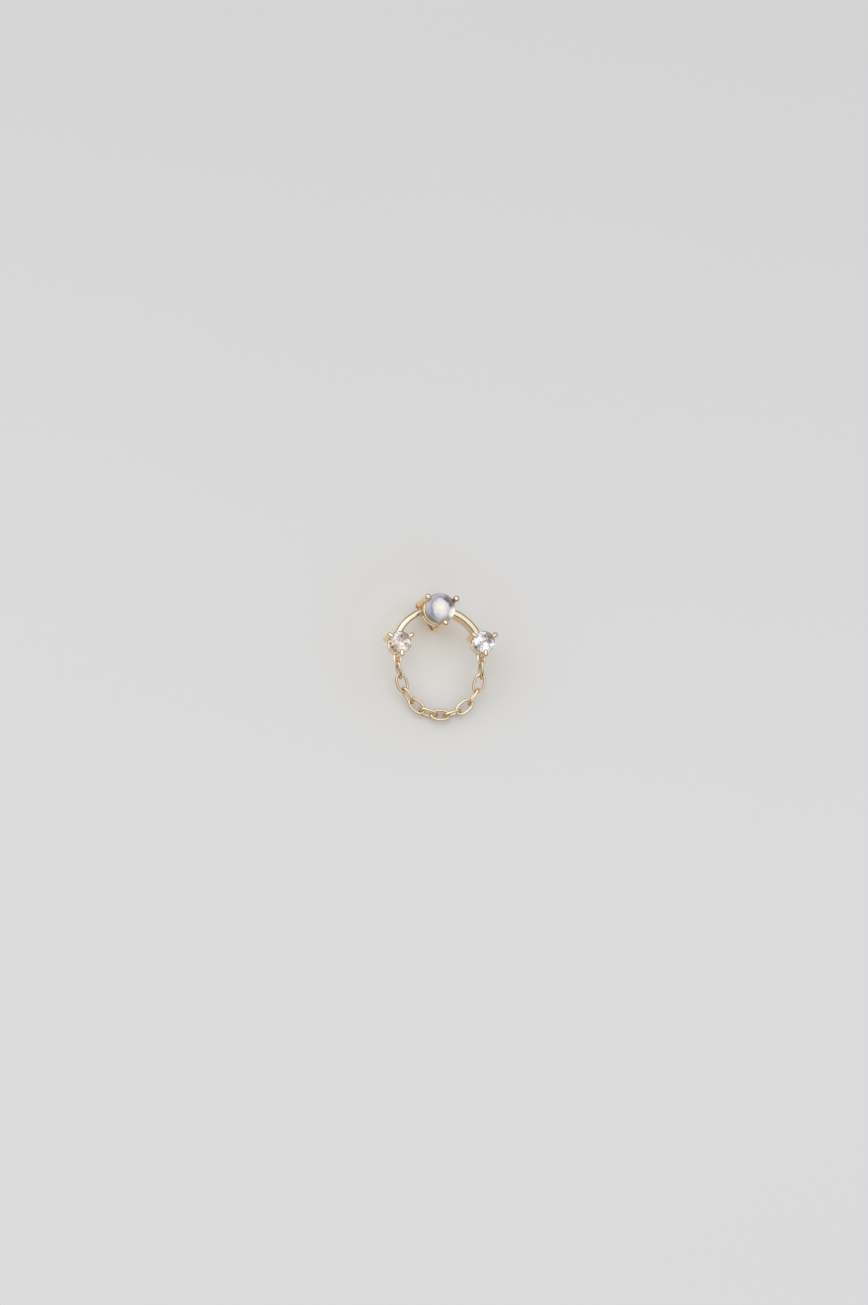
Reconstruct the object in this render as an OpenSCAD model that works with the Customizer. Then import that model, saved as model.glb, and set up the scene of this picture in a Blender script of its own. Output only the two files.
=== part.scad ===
// Chain drop stud earring: an arc of gold with three stones in prongs, closed into a ring by a
// fine cable chain. A short post stands behind the largest stone, with the clutch pushed onto it.
// The earring stands face up on the clutch, and the chain drapes down to the surface.
// +Z points out of the face, +X to the viewer's right and +Y from the chain to the largest stone.

/* [Band] */
// Radius of the band's centre line
ring_r = 4.45; // [4.35:0.05:4.55]
// Width of the band across its face
band_w = 0.72; // [0.64:0.02:0.72]
// Depth of the band from its face to its back
band_h = 1.25; // [1.15:0.05:1.3]
// Radius of the rounding across the band's face
band_crown_r = 0.38; // [0.36:0.02:0.5]
// Angle from the top of the ring to each end of the band
band_sweep = 83; // [82:1:86]

/* [Large stone] */
// Diameter of the round cabochon
moon_d = 3; // [2.9:0.05:3.1]
// Height of its dome above the girdle
moon_dome = 1.25; // [1.1:0.05:1.35]
// Depth of its back below the girdle
moon_back = 0.65; // [0.5:0.05:0.75]
// Height of its girdle above the band's back
moon_rise = 2.45; // [2.4:0.05:2.6]

/* [Side stones] */
// Diameter of each round faceted stone
side_d = 2.2; // [2.1:0.05:2.3]
// Height of its girdle above the band's back
side_rise = 2.35; // [2.3:0.05:2.5]
// Angle from the top of the ring to each side stone
side_sweep = 78; // [77:1:80]
// Width of the table as a share of the diameter
table_share = 0.54; // [0.5:0.01:0.6]
// Height of the crown as a share of the diameter
crown_share = 0.16; // [0.13:0.01:0.18]
// Depth of the pavilion as a share of the diameter
pavilion_share = 0.4; // [0.36:0.01:0.42]

/* [Prongs] */
// Wire of the large stone's prongs
moon_prong_d = 0.58; // [0.5:0.02:0.62]
// Ball at the tip of each of those prongs
moon_tip_d = 0.68; // [0.66:0.01:0.7]
// Wire of the side stones' prongs
side_prong_d = 0.46; // [0.4:0.02:0.48]
// Bend at the top of each of those prongs
side_tip_d = 0.56; // [0.52:0.02:0.58]
// Length of the claw that bends from there over the stone
side_claw_l = 0.25; // [0.15:0.05:0.4]
// Wire of the lower ring that joins each stone's prongs
base_wire = 0.32; // [0.3:0.02:0.36]
// Wire of the upper ring below each stone
gallery_wire = 0.26; // [0.24:0.02:0.3]

/* [Chain] */
// Length of the loop of chain, from its ends to its lowest point
chain_fall = 4.75; // [4.6:0.05:4.9]
// Distance that the lower links lie to the right of the ring's middle
chain_lean = 0.6; // [0.4:0.05:0.7]
// Width of a link
link_w = 1.25; // [1.2:0.01:1.28]
// Wire of a link
link_wire = 0.28; // [0.26:0.01:0.29]
// Wire of the soldered loop that holds each end of the chain
loop_wire = 0.22; // [0.2:0.01:0.23]
// Radius of that loop's centre line
loop_r = 0.33; // [0.32:0.01:0.34]

/* [Post and clutch] */
// Diameter of the ear post
post_d = 0.8; // [0.76:0.02:0.84]
// Thickness of the clutch, from its plate to the bottom of its curls
clutch_h = 1.7; // [1.65:0.05:1.8]
// Length of the clutch
clutch_l = 3.4; // [3.3:0.05:3.6]
// Width of the clutch's plate
clutch_w = 2.1; // [2:0.05:2.3]
// Width of the curls where they touch the surface
clutch_foot_w = 1.3; // [1.2:0.05:1.5]
// Thickness of the clutch's strip
clutch_t = 0.2; // [0.18:0.01:0.22]
// Angle of the clutch's long side from +X
clutch_turn = -60; // [-70:1:-50]

/* [Hidden] */
$fn = 72;

gold = [0.87, 0.69, 0.43];
milky = [0.86, 0.88, 0.95];
clear = [0.93, 0.92, 0.9];

// Room between pieces that sit on or in each other
gap = 0.03;
// The ring's centre, placed so that the origin is below the middle of the whole earring
ring_y = -0.025;
// The post stands just outside the band's centre line, and all three stones inside it
post_y = ring_y + ring_r + 0.05;
moon_y = post_y - 0.33;
side_r = ring_r - 0.15;
side_x = side_r * sin(side_sweep);
side_y = ring_y + side_r * cos(side_sweep) - 0.08;

back_z = clutch_h + gap;
moon_z = back_z + moon_rise;
side_z = back_z + side_rise;
girdle_h = 0.08;

// Size of the corner filed off each end of the band
heel = 1.1;

// Prongs stand at these angles round each stone
moon_prong_angles = [27, 145, 278];
side_prong_angles = [30, 150, 270];
moon_prong_r = moon_d / 2 + 0.16;
moon_tip_z = moon_z + 0.68;
side_prong_r = side_d / 2 + 0.17;
side_foot_r = side_d / 2;
side_tip_z = side_z + 0.28;
side_foot_z = back_z + 0.8;
// Depth of each setting's upper ring below its girdle
moon_gallery_drop = 0.85;
side_gallery_drop = 0.52;

// Cone points of a round brilliant, as shares of its radius
star_r = 0.76;
lower_r = 0.26;
// Top of a side stone's seat, as a share of its radius: it clears the table and the stars
seat_top = 0.68;

// Soldered loops, under the lowest prong of each side stone
loop_x = side_x;
loop_y = side_y - side_foot_r - side_prong_d / 2 - loop_r + 0.12;
loop_z = side_foot_z + 0.12;
neck_d = 0.6;

// The chain's centre line, by an angle that runs from 0 at the left loop to 180 at the right
links = 11;
land_angle = 70;
// Powers that shape the left and right sides: the lower, the fuller
left_power = 0.8;
right_power = 1.04;
floor_z = link_w / 2;
chain_y = loop_y - loop_wire / 2 - 2 * gap;
steps = 180;

function landed(a) = pow(max(0, 1 - min(a, 180 - a) / land_angle), 2);
function spread(a) = a < 90 ? -pow(cos(a), left_power) : pow(-cos(a), right_power);
function chain_at(a) = [
    loop_x * spread(a) + chain_lean * (1 - landed(a)),
    chain_y - chain_fall * sin(a),
    floor_z + (loop_z - floor_z) * landed(a)
];
path = [for (i = [0 : steps]) chain_at(i * 180 / steps)];
function run(i) = i == 0 ? 0 : run(i - 1) + norm(path[i] - path[i - 1]);
runs = [for (i = [0 : steps]) run(i)];

// Length by which each link falls short of its full reach: the chain is slack at its lowest links
link_eases = [0, 0, 0, 0, 0.1, 0.3, 0, 0, 0, 0, 0];
function eased(k) = k == 0 ? 0 : eased(k - 1) + link_eases[k - 1];
pitch = (runs[steps] + eased(links)) / links;

// Joint k lies k pitches along the chain, less what the links before it fall short
function joint(k) = k <= 0 ? path[0] : k >= links ? path[steps] :
    let (reach = k * pitch - eased(k),
         j = len([for (i = [1 : steps]) if (runs[i] < reach) i]),
         share = (reach - runs[j]) / (runs[j + 1] - runs[j]))
    path[j] + share * (path[j + 1] - path[j]);

// Odd links stand on edge and even ones lie flat, each turned a little from that
link_turns = [94, 8, 84, 6, 71, -8, 84, 4, 92, -6, 90];

// A link's centre line is two half circles joined by straight flanks
slack = 0.045;
link_a = (pitch + link_wire + slack) / 2;
link_b = (link_w - link_wire) / 2;
flank = 2 * (link_a - link_b);

module ring_wire(r, wire, sweep) {
    rotate_extrude(angle = sweep)
        translate([r, 0])
            circle(d = wire, $fn = 24);
}

module link() {
    for (turn = [0, 180])
        rotate([0, 0, turn]) {
            translate([flank / 2, 0, 0])
                rotate([0, 0, -90])
                    ring_wire(link_b, link_wire, 180);
            translate([-flank / 2, link_b, 0])
                rotate([0, 90, 0])
                    cylinder(d = link_wire, h = flank, $fn = 24);
        }
}

module chain_link(k) {
    start = joint(k - 1);
    way = joint(k) - start;
    heading = atan2(way[1], way[0]);
    drop = atan2(-way[2], norm([way[0], way[1]]));
    color(gold)
        translate(start + way / 2)
            rotate([link_turns[k - 1], drop, heading])
                link();
}

// Cabochon about its girdle's middle, grown by a given room to cut its seat
module cabochon(room = 0) {
    r = moon_d / 2;
    dome_r = (r * r + moon_dome * moon_dome) / (2 * moon_dome);
    back_r = (r * r + moon_back * moon_back) / (2 * moon_back);
    intersection() {
        translate([0, 0, girdle_h / 2 + moon_dome - dome_r])
            sphere(r = dome_r + room);
        translate([0, 0, back_r - moon_back - girdle_h / 2])
            sphere(r = back_r + room);
        translate([0, 0, -moon_d])
            cylinder(r = r + room, h = 2 * moon_d);
    }
}

function circle_points(n, r, z, first) =
    [for (i = [0 : n - 1]) [r * cos(first + i * 360 / n), r * sin(first + i * 360 / n), z]];

// Round brilliant about its girdle's middle: table, 8 stars, 8 kites, 16 upper girdle facets,
// the girdle, 16 lower girdle facets and 8 pavilion mains
module brilliant() {
    r = side_d / 2;
    half = girdle_h / 2;
    crown = crown_share * side_d;
    pavilion = pavilion_share * side_d;
    table_r = table_share * r / cos(22.5);
    // The kites are flat, so a star's point lies on the plane from table corner to girdle
    star_z = half + crown * (r - star_r * r * cos(22.5)) / (r - table_r);
    lower_z = -half - pavilion * (1 - lower_r * cos(22.5));
    points = concat(
        circle_points(8, table_r, half + crown, 0),
        circle_points(8, star_r * r, star_z, 22.5),
        circle_points(16, r, half, 0),
        circle_points(16, r, -half, 0),
        circle_points(8, lower_r * r, lower_z, 22.5),
        [[0, 0, -half - pavilion]]
    );
    star = 8;
    top = 16;
    low = 32;
    main = 48;
    culet = 56;
    faces = concat(
        [[for (i = [0 : 7]) 7 - i]],
        [for (i = [0 : 7]) [i, (i + 1) % 8, star + i]],
        [for (i = [0 : 7]) [i, star + i, top + 2 * i, star + (i + 7) % 8]],
        [for (i = [0 : 7]) [star + i, top + 2 * i + 1, top + 2 * i]],
        [for (i = [0 : 7]) [star + i, top + (2 * i + 2) % 16, top + 2 * i + 1]],
        [for (i = [0 : 15]) [top + i, top + (i + 1) % 16, low + (i + 1) % 16, low + i]],
        [for (i = [0 : 7]) [main + i, low + 2 * i, low + 2 * i + 1]],
        [for (i = [0 : 7]) [main + i, low + 2 * i + 1, low + (2 * i + 2) % 16]],
        [for (i = [0 : 7]) [culet, main + (i + 7) % 8, low + 2 * i, main + i]]
    );
    polyhedron(points, faces);
}

// Turned shape that holds a side stone with room all round, to cut its seat
module side_seat() {
    r = side_d / 2 + gap;
    half = girdle_h / 2 + gap;
    rotate_extrude()
        polygon([
            [0, -half - pavilion_share * side_d],
            [r, -half],
            [r, half],
            [seat_top * r, half + crown_share * side_d],
            [0, half + crown_share * side_d]
        ]);
}

module band_section() {
    intersection() {
        translate([-band_w / 2, 0])
            square([band_w, band_h]);
        union() {
            translate([0, band_h - band_crown_r])
                circle(r = band_crown_r);
            translate([-band_w, -band_h])
                square([2 * band_w, 2 * band_h - band_crown_r]);
        }
    }
}

// Half ring whose lower corners are filed off at both ends
module band() {
    translate([0, ring_y, back_z])
        difference() {
            rotate([0, 0, 90 - band_sweep])
                rotate_extrude(angle = 2 * band_sweep)
                    translate([ring_r, 0])
                        band_section();
            for (side = [-1, 1])
                rotate([0, 0, 90 - side * band_sweep])
                    translate([ring_r, 0, 0])
                        rotate([45, 0, 0])
                            cube([2 * band_w, heel, heel], center = true);
        }
}

// Prong that leans from a foot radius to a tip radius and ends in a ball or a bend
module prong(angle, foot_r, foot_z, tip_r, tip_z, wire, ball) {
    lean = atan2(tip_r - foot_r, tip_z - foot_z);
    rotate([0, 0, angle]) {
        translate([foot_r, 0, foot_z])
            rotate([0, lean, 0])
                cylinder(d = wire, h = norm([tip_r - foot_r, tip_z - foot_z]), $fn = 32);
        translate([tip_r, 0, tip_z])
            sphere(d = ball, $fn = 32);
    }
}

module wire_ring(r, wire, z) {
    translate([0, 0, z])
        ring_wire(r, wire, 360);
}

module moon_setting() {
    translate([0, moon_y, 0]) {
        wire_ring(moon_prong_r - 0.4, base_wire, back_z + band_h / 2);
        wire_ring(moon_prong_r - 0.3, gallery_wire, moon_z - moon_gallery_drop);
        for (angle = moon_prong_angles)
            prong(angle, moon_prong_r, back_z, moon_prong_r, moon_tip_z, moon_prong_d, moon_tip_d);
    }
}

// Claw that tapers from a prong's bend in over the stone
module side_claw(angle) {
    rise = 14;
    end_d = 0.8 * side_tip_d;
    rotate([0, 0, angle])
        translate([side_prong_r, 0, side_tip_z])
            rotate([0, rise - 90, 0]) {
                cylinder(d1 = side_tip_d, d2 = end_d, h = side_claw_l, $fn = 32);
                translate([0, 0, side_claw_l])
                    sphere(d = end_d, $fn = 32);
            }
}

module side_setting(x) {
    translate([x, side_y, 0]) {
        wire_ring(side_foot_r - 0.26, base_wire, side_foot_z + base_wire / 2 + 0.03);
        wire_ring(side_foot_r - 0.12, gallery_wire, side_z - side_gallery_drop);
        for (angle = side_prong_angles) {
            // The upper two stand further out, and are stouter
            upper = sin(angle) > 0;
            prong(angle, side_foot_r + (upper ? 0.15 : 0), side_foot_z, side_prong_r, side_tip_z,
                  side_prong_d + (upper ? 0.08 : 0), side_tip_d);
            side_claw(angle);
        }
    }
}

// Loop on a flat tab and a tapered neck that are soldered to the setting's lower ring
module end_loop(x) {
    neck_y = side_y - side_foot_r + 0.2;
    neck_end = loop_y + loop_r - loop_wire / 2 + 0.06;
    translate([x, loop_y, loop_z])
        ring_wire(loop_r, loop_wire, 360);
    for (side = [-1, 1])
        translate([x + side * loop_r, neck_y, loop_z])
            rotate([90, 0, 0])
                cylinder(d = loop_wire, h = neck_y - loop_y, $fn = 24);
    translate([x - loop_r, neck_end, loop_z - loop_wire / 2])
        cube([2 * loop_r, neck_y - neck_end, loop_wire]);
    translate([x, neck_y, loop_z])
        rotate([90, 0, 0])
            cylinder(d1 = neck_d, d2 = 0.8 * neck_d, h = neck_y - neck_end, $fn = 32);
}

module post() {
    translate([0, post_y, gap])
        cylinder(d = post_d, h = back_z - gap + 0.2);
}

module setting_arc() {
    color(gold)
        difference() {
            union() {
                band();
                moon_setting();
                for (side = [-1, 1]) {
                    side_setting(side * side_x);
                    end_loop(side * loop_x);
                }
                post();
            }
            translate([0, moon_y, moon_z])
                cabochon(gap);
            for (side = [-1, 1])
                translate([side * side_x, side_y, side_z])
                    side_seat();
        }
}

module stone_top() {
    color(milky)
        translate([0, moon_y, moon_z])
            cabochon();
}

module stone_side(x) {
    color(clear)
        translate([x, side_y, side_z])
            brilliant();
}

// Strip seen from its edge: a plate on top and a curl below each end, open round the post
module clutch_section() {
    curl_r = clutch_h / 2;
    curl_x = clutch_l / 2 - curl_r;
    plate_z = clutch_h - clutch_t - 0.02;
    difference() {
        union() {
            translate([-curl_x, plate_z])
                square([2 * curl_x, clutch_t]);
            for (side = [-1, 1])
                translate([side * curl_x, curl_r])
                    circle(r = curl_r);
        }
        for (side = [-1, 1])
            translate([side * curl_x, curl_r])
                circle(r = curl_r - clutch_t);
        translate([-post_d / 2 - 2 * gap, -1])
            square([post_d + 4 * gap, 1 + plate_z - 0.02]);
    }
}

module clutch() {
    top_w = clutch_w / 2;
    foot_w = clutch_foot_w / 2;
    waist_z = clutch_h * 0.75;
    end_x = clutch_l / 2 + 0.01;
    waist_x = clutch_l / 4;
    color(gold)
        translate([0, post_y, 0])
            rotate([0, 0, clutch_turn])
                difference() {
                    intersection() {
                        translate([0, clutch_w / 2, 0])
                            rotate([90, 0, 0])
                                linear_extrude(clutch_w)
                                    clutch_section();
                        rotate([90, 0, 90])
                            linear_extrude(2 * clutch_l, center = true)
                                polygon([
                                    [-top_w, clutch_h + 1], [top_w, clutch_h + 1],
                                    [top_w, waist_z], [foot_w, 0], [foot_w, -1],
                                    [-foot_w, -1], [-foot_w, 0], [-top_w, waist_z]
                                ]);
                        translate([0, 0, -1])
                            linear_extrude(clutch_h + 2)
                                polygon([
                                    [-end_x, -foot_w], [-waist_x, -top_w], [waist_x, -top_w],
                                    [end_x, -foot_w], [end_x, foot_w], [waist_x, top_w],
                                    [-waist_x, top_w], [-end_x, foot_w]
                                ]);
                    }
                    translate([0, 0, -1])
                        cylinder(d = post_d + 2 * gap, h = clutch_h + 2);
                }
}

setting_arc();
stone_top();
stone_side(-side_x);  // stone_left
stone_side(side_x);  // stone_right
clutch();
chain_link(1);  // link_01
chain_link(2);  // link_02
chain_link(3);  // link_03
chain_link(4);  // link_04
chain_link(5);  // link_05
chain_link(6);  // link_06
chain_link(7);  // link_07
chain_link(8);  // link_08
chain_link(9);  // link_09
chain_link(10);  // link_10
chain_link(11);  // link_11
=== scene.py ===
"""Looks of the chain drop stud earring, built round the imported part. Sizes are in millimetres, and
each finished piece is scaled to metres."""

import math

import bmesh
import bpy
from mathutils import Matrix, Vector


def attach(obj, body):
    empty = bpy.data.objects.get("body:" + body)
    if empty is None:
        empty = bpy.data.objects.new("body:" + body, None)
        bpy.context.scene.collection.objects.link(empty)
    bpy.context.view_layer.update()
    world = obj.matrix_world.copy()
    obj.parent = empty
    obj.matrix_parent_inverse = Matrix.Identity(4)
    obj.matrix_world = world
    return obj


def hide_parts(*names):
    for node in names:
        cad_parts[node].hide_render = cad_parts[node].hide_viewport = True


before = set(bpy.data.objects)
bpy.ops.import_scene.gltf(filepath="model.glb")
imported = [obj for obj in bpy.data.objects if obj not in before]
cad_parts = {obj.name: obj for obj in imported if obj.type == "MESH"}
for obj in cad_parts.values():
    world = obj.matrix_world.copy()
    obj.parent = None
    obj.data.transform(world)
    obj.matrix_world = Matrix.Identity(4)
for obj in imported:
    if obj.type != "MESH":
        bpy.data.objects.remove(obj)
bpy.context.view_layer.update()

MM = 0.001
# Room between pieces that would otherwise touch
GAP = 0.03

# Band, with its angle to each side in degrees, and how high the slope goes that is filed off its ends
RING_R = 4.45
RING_Y = -0.025
BAND_W, BAND_H, BAND_CROWN_R, BAND_CORNER_R = 0.72, 1.25, 0.38, 0.07
BAND_SWEEP = 83
HEEL = 1.1 / math.sqrt(2)

# Post, and the depth of its root in the band
POST_Y = RING_Y + RING_R + 0.05
POST_D = 0.8
POST_BEVEL, POST_ROOT = 0.05, 0.2

# Clutch, bent from one strip. Its turn and the end of its curls are in degrees, and its hole widens
# by the sink at its top
CLUTCH_H, CLUTCH_L, CLUTCH_W, CLUTCH_FOOT_W = 1.7, 3.4, 2.1, 1.3
CLUTCH_T = 0.2
CLUTCH_EDGE = 0.035
CLUTCH_TURN = -60
CURL_END = -118
HOLE_R = POST_D / 2 + GAP
HOLE_SINK = 0.15
BACK_Z = CLUTCH_H + GAP

# Stones
GIRDLE_H = 0.08
MOON_D, MOON_DOME, MOON_BACK = 3.0, 1.25, 0.65
MOON_EDGE = 0.03
MOON_Y = POST_Y - 0.33
MOON_Z = BACK_Z + 2.45
SIDE_D = 2.2
SIDE_SWEEP = 78
SIDE_R = RING_R - 0.15
SIDE_X = SIDE_R * math.sin(math.radians(SIDE_SWEEP))
SIDE_Y = RING_Y + SIDE_R * math.cos(math.radians(SIDE_SWEEP)) - 0.08
SIDE_Z = BACK_Z + 2.35
# Shares of a side stone's width for its crown and its pavilion, and of its seat's radius for the top
SEAT_TOP, CROWN_SHARE, PAVILION_SHARE = 0.68, 0.16, 0.4

# Prongs, by their angle round the stone in degrees. The two upper ones of a side setting stand
# further out at the foot, and are thicker
MOON_PRONG_ANGLES = (27, 145, 278)
SIDE_PRONG_ANGLES = (30, 150, 270)
MOON_PRONG_R = MOON_D / 2 + 0.16
MOON_PRONG_D, MOON_TIP_D = 0.58, 0.68
MOON_TIP_Z = MOON_Z + 0.68
SIDE_FOOT_R, SIDE_PRONG_R = SIDE_D / 2, SIDE_D / 2 + 0.17
SIDE_PRONG_D, SIDE_TIP_D = 0.46, 0.56
UPPER_FOOT_OUT, UPPER_PRONG_MORE = 0.15, 0.08
SIDE_FOOT_Z, SIDE_TIP_Z = BACK_Z + 0.8, SIDE_Z + 0.28
SIDE_CLAW_L, CLAW_RISE, CLAW_END_R = 0.25, 14, 0.4 * SIDE_TIP_D

# Wire rings that join the prongs
BASE_WIRE, GALLERY_WIRE = 0.32, 0.26
MOON_BASE_R, MOON_GALLERY_R = MOON_PRONG_R - 0.4, MOON_PRONG_R - 0.3
SIDE_BASE_R, SIDE_GALLERY_R = SIDE_FOOT_R - 0.26, SIDE_FOOT_R - 0.12
MOON_BASE_Z = BACK_Z + BAND_H / 2
SIDE_BASE_Z = SIDE_FOOT_Z + BASE_WIRE / 2 + 0.03
MOON_GALLERY_Z, SIDE_GALLERY_Z = MOON_Z - 0.85, SIDE_Z - 0.52

# Loops, each on a flat tab with a tapered neck
LOOP_R, LOOP_WIRE = 0.33, 0.22
LOOP_Y = SIDE_Y - SIDE_FOOT_R - SIDE_PRONG_D / 2 - LOOP_R + 0.12
LOOP_Z = SIDE_FOOT_Z + 0.12
NECK_D, NECK_END_R = 0.6, 0.24
NECK_Y = SIDE_Y - SIDE_FOOT_R + 0.2
NECK_L = NECK_Y - (LOOP_Y + LOOP_R - LOOP_WIRE / 2 + 0.06)

# Chain: how far it falls and leans, and how many degrees of its half turn each end takes to land
CHAIN_FALL, CHAIN_LEAN = 4.75, 0.6
LAND_ANGLE = 70
# Powers that shape the left and right half of its curve: 1 is an ellipse, and lower ones are fuller
LEFT_POWER, RIGHT_POWER = 0.8, 1.04
LINKS = 11
LINK_W, LINK_WIRE = 1.25, 0.28
SLACK = 0.045
FLOOR_Z = LINK_W / 2
CHAIN_Y = LOOP_Y - LOOP_WIRE / 2 - 2 * GAP
PATH_STEPS = 180
# Each link's roll in degrees, and how much less of the path than a full pitch it takes up
LINK_TURNS = (94, 8, 84, 6, 71, -8, 84, 4, 92, -6, 90)
LINK_EASES = (0, 0, 0, 0, 0.1, 0.3, 0, 0, 0, 0, 0)
# Power of the oval that a link's wire is bent to: 2 is an ellipse, and higher powers are squarer
OVAL_POWER = 2.4

# Fineness of the meshes: steps round a turned shape, sides of a wire, and the melting's voxel
TURN_STEPS, PRONG_STEPS, POST_STEPS, LOOP_STEPS = 96, 32, 48, 64
WIRE_SIDES = 20
VOXEL = 0.045
SMOOTH_SHARE, SMOOTH_PASSES = 0.5, 5
# A loose bit with fewer vertices than this is a crumb
CRUMB = 1000


# Mesh making

def linked(name, mesh):
    """Mesh as an object of the scene."""
    obj = bpy.data.objects.new(name, mesh)
    bpy.context.scene.collection.objects.link(obj)
    return obj


def mesh_object(name, points, faces):
    """Smooth-shaded mesh whose faces all look outward, as an object."""
    mesh = bpy.data.meshes.new(name)
    mesh.from_pydata([tuple(p) for p in points], [], faces)
    mesh.update()
    bm = bmesh.new()
    bm.from_mesh(mesh)
    bmesh.ops.recalc_face_normals(bm, faces=bm.faces)
    bm.to_mesh(mesh)
    bm.free()
    mesh.polygons.foreach_set("use_smooth", [True] * len(mesh.polygons))
    return linked(name, mesh)


def bake(obj):
    """Applies an object's modifiers to its mesh."""
    graph = bpy.context.evaluated_depsgraph_get()
    graph.update()
    mesh = bpy.data.meshes.new_from_object(obj.evaluated_get(graph))
    obj.modifiers.clear()
    old = obj.data
    obj.data = mesh
    bpy.data.meshes.remove(old)


def discard(obj):
    """Deletes an object and its mesh."""
    mesh = obj.data
    bpy.data.objects.remove(obj)
    bpy.data.meshes.remove(mesh)


def joined(name, objects):
    """One object that holds the meshes of several."""
    bm = bmesh.new()
    for obj in objects:
        bm.from_mesh(obj.data)
        discard(obj)
    mesh = bpy.data.meshes.new(name)
    bm.to_mesh(mesh)
    bm.free()
    return linked(name, mesh)


def melted(name, objects):
    """Closed shapes run together into one softly joined mesh."""
    obj = joined(name, objects)
    remesh = obj.modifiers.new("melt", "REMESH")
    remesh.mode = "VOXEL"
    remesh.voxel_size = VOXEL
    remesh.use_smooth_shade = True
    smooth = obj.modifiers.new("smooth", "SMOOTH")
    smooth.factor = SMOOTH_SHARE
    smooth.iterations = SMOOTH_PASSES
    bake(obj)
    return obj


def cut(obj, tool):
    """Takes the volume of one closed mesh out of another."""
    boolean = obj.modifiers.new("cut", "BOOLEAN")
    boolean.operation = "DIFFERENCE"
    boolean.solver = "MANIFOLD"
    boolean.object = tool
    bake(obj)
    discard(tool)


def round_edges(obj, width):
    """Rounds the sharp edges of an object."""
    bevel = obj.modifiers.new("edges", "BEVEL")
    bevel.width = width
    bevel.segments = 3
    bevel.limit_method = "ANGLE"
    bevel.angle_limit = math.radians(40)
    bake(obj)


def connected_parts(bm):
    """Lists of the vertices that edges connect."""
    parts = []
    left = set(bm.verts)
    while left:
        part, fresh = [], [left.pop()]
        while fresh:
            vert = fresh.pop()
            part.append(vert)
            near = {edge.other_vert(vert) for edge in vert.link_edges} & left
            left -= near
            fresh += near
        parts.append(part)
    return parts


def drop_crumbs(obj):
    """Deletes the small loose bits that a cut leaves."""
    bm = bmesh.new()
    bm.from_mesh(obj.data)
    crumbs = [vert for part in connected_parts(bm) if len(part) < CRUMB for vert in part]
    bmesh.ops.delete(bm, geom=crumbs, context="VERTS")
    bm.to_mesh(obj.data)
    bm.free()


# Basic shapes

def polar(r, degrees):
    """Point at a distance and an angle."""
    return r * math.cos(math.radians(degrees)), r * math.sin(math.radians(degrees))


def arc_profile(centre_x, centre_z, r, first, last, steps):
    """Points along an arc, from its first to its last angle in degrees."""
    offsets = [polar(r, first + (last - first) * s / steps) for s in range(steps + 1)]
    return [(centre_x + x, centre_z + z) for x, z in offsets]


def tube_faces(rings, sides, closed):
    """Quads between rings of points, with flat ends if the tube isn't closed."""
    faces = []
    for i in range(rings if closed else rings - 1):
        a, b = i * sides, (i + 1) % rings * sides
        for j in range(sides):
            k = (j + 1) % sides
            faces.append((a + j, a + k, b + k, b + j))
    if not closed:
        faces.append(tuple(range(sides)))
        faces.append(tuple((rings - 1) * sides + j for j in range(sides)))
    return faces


def lathe(name, profile, steps=TURN_STEPS, place=Matrix.Identity(4)):
    """Turns a closed profile of (radius, height) points round Z. Points on the axis become one."""
    on_axis = 1e-6
    points, rings = [], []
    for r, z in profile:
        if r < on_axis:
            rings.append([len(points)])
            points.append((0, 0, z))
        else:
            rings.append(list(range(len(points), len(points) + steps)))
            points += [(*polar(r, 360 * s / steps), z) for s in range(steps)]
    faces = []
    for low, high in zip(rings, rings[1:] + rings[:1]):
        if len(low) == 1 and len(high) == 1:
            continue
        for s in range(steps):
            t = (s + 1) % steps
            corners = [low[s % len(low)], low[t % len(low)], high[t % len(high)], high[s % len(high)]]
            faces.append(tuple(dict.fromkeys(corners)))
    return mesh_object(name, [place @ Vector(p) for p in points], faces)


def pointing(start, way):
    """Matrix that turns Z to a way and moves it to a start."""
    return Matrix.Translation(start) @ way.to_track_quat("Z", "Y").to_matrix().to_4x4()


def box(name, low, high):
    """Box between its lowest and its highest corner."""
    points = [(x, y, z) for x in (low[0], high[0]) for y in (low[1], high[1]) for z in (low[2], high[2])]
    faces = [(0, 1, 3, 2), (4, 6, 7, 5), (0, 4, 5, 1), (2, 3, 7, 6), (0, 2, 6, 4), (1, 5, 7, 3)]
    return mesh_object(name, points, faces)


def torus(name, r, wire, centre, steps=TURN_STEPS):
    """Level ring of round wire, by the radius to the wire's middle."""
    points = []
    for i in range(steps):
        for j in range(WIRE_SIDES):
            off, rise = polar(wire / 2, 360 * j / WIRE_SIDES)
            x, y = polar(r + off, 360 * i / steps)
            points.append((centre[0] + x, centre[1] + y, centre[2] + rise))
    return mesh_object(name, points, tube_faces(steps, WIRE_SIDES, True))


# Stones and their seats

def cabochon_profile(room=0.0, edge=0.0):
    """Half outline of the large stone about its girdle's middle, grown by a given room. The edge
    is how far in the corner below the girdle is rounded."""
    steps = 24
    r = MOON_D / 2
    dome_r = (r * r + MOON_DOME ** 2) / (2 * MOON_DOME)
    back_r = (r * r + MOON_BACK ** 2) / (2 * MOON_BACK)
    dome_z = GIRDLE_H / 2 + MOON_DOME - dome_r
    back_z = back_r - MOON_BACK - GIRDLE_H / 2
    r += room
    dome_r += room
    back_r += room
    dome_start = math.degrees(math.acos(r / dome_r))
    back_end = math.degrees(math.acos((r - edge) / back_r))
    profile = [(0, back_z - back_r)]
    profile += arc_profile(0, back_z, back_r, -90, -back_end, steps)[1:]
    if edge:
        fall = back_z - math.sqrt(back_r ** 2 - (r - edge) ** 2)
        corner = 0.3 * edge
        profile += [(r - corner, fall + corner), (r, fall + edge)]
    profile += arc_profile(0, dome_z, dome_r, dome_start, 90, steps)[:-1]
    profile += [(0, dome_z + dome_r)]
    return profile


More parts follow.
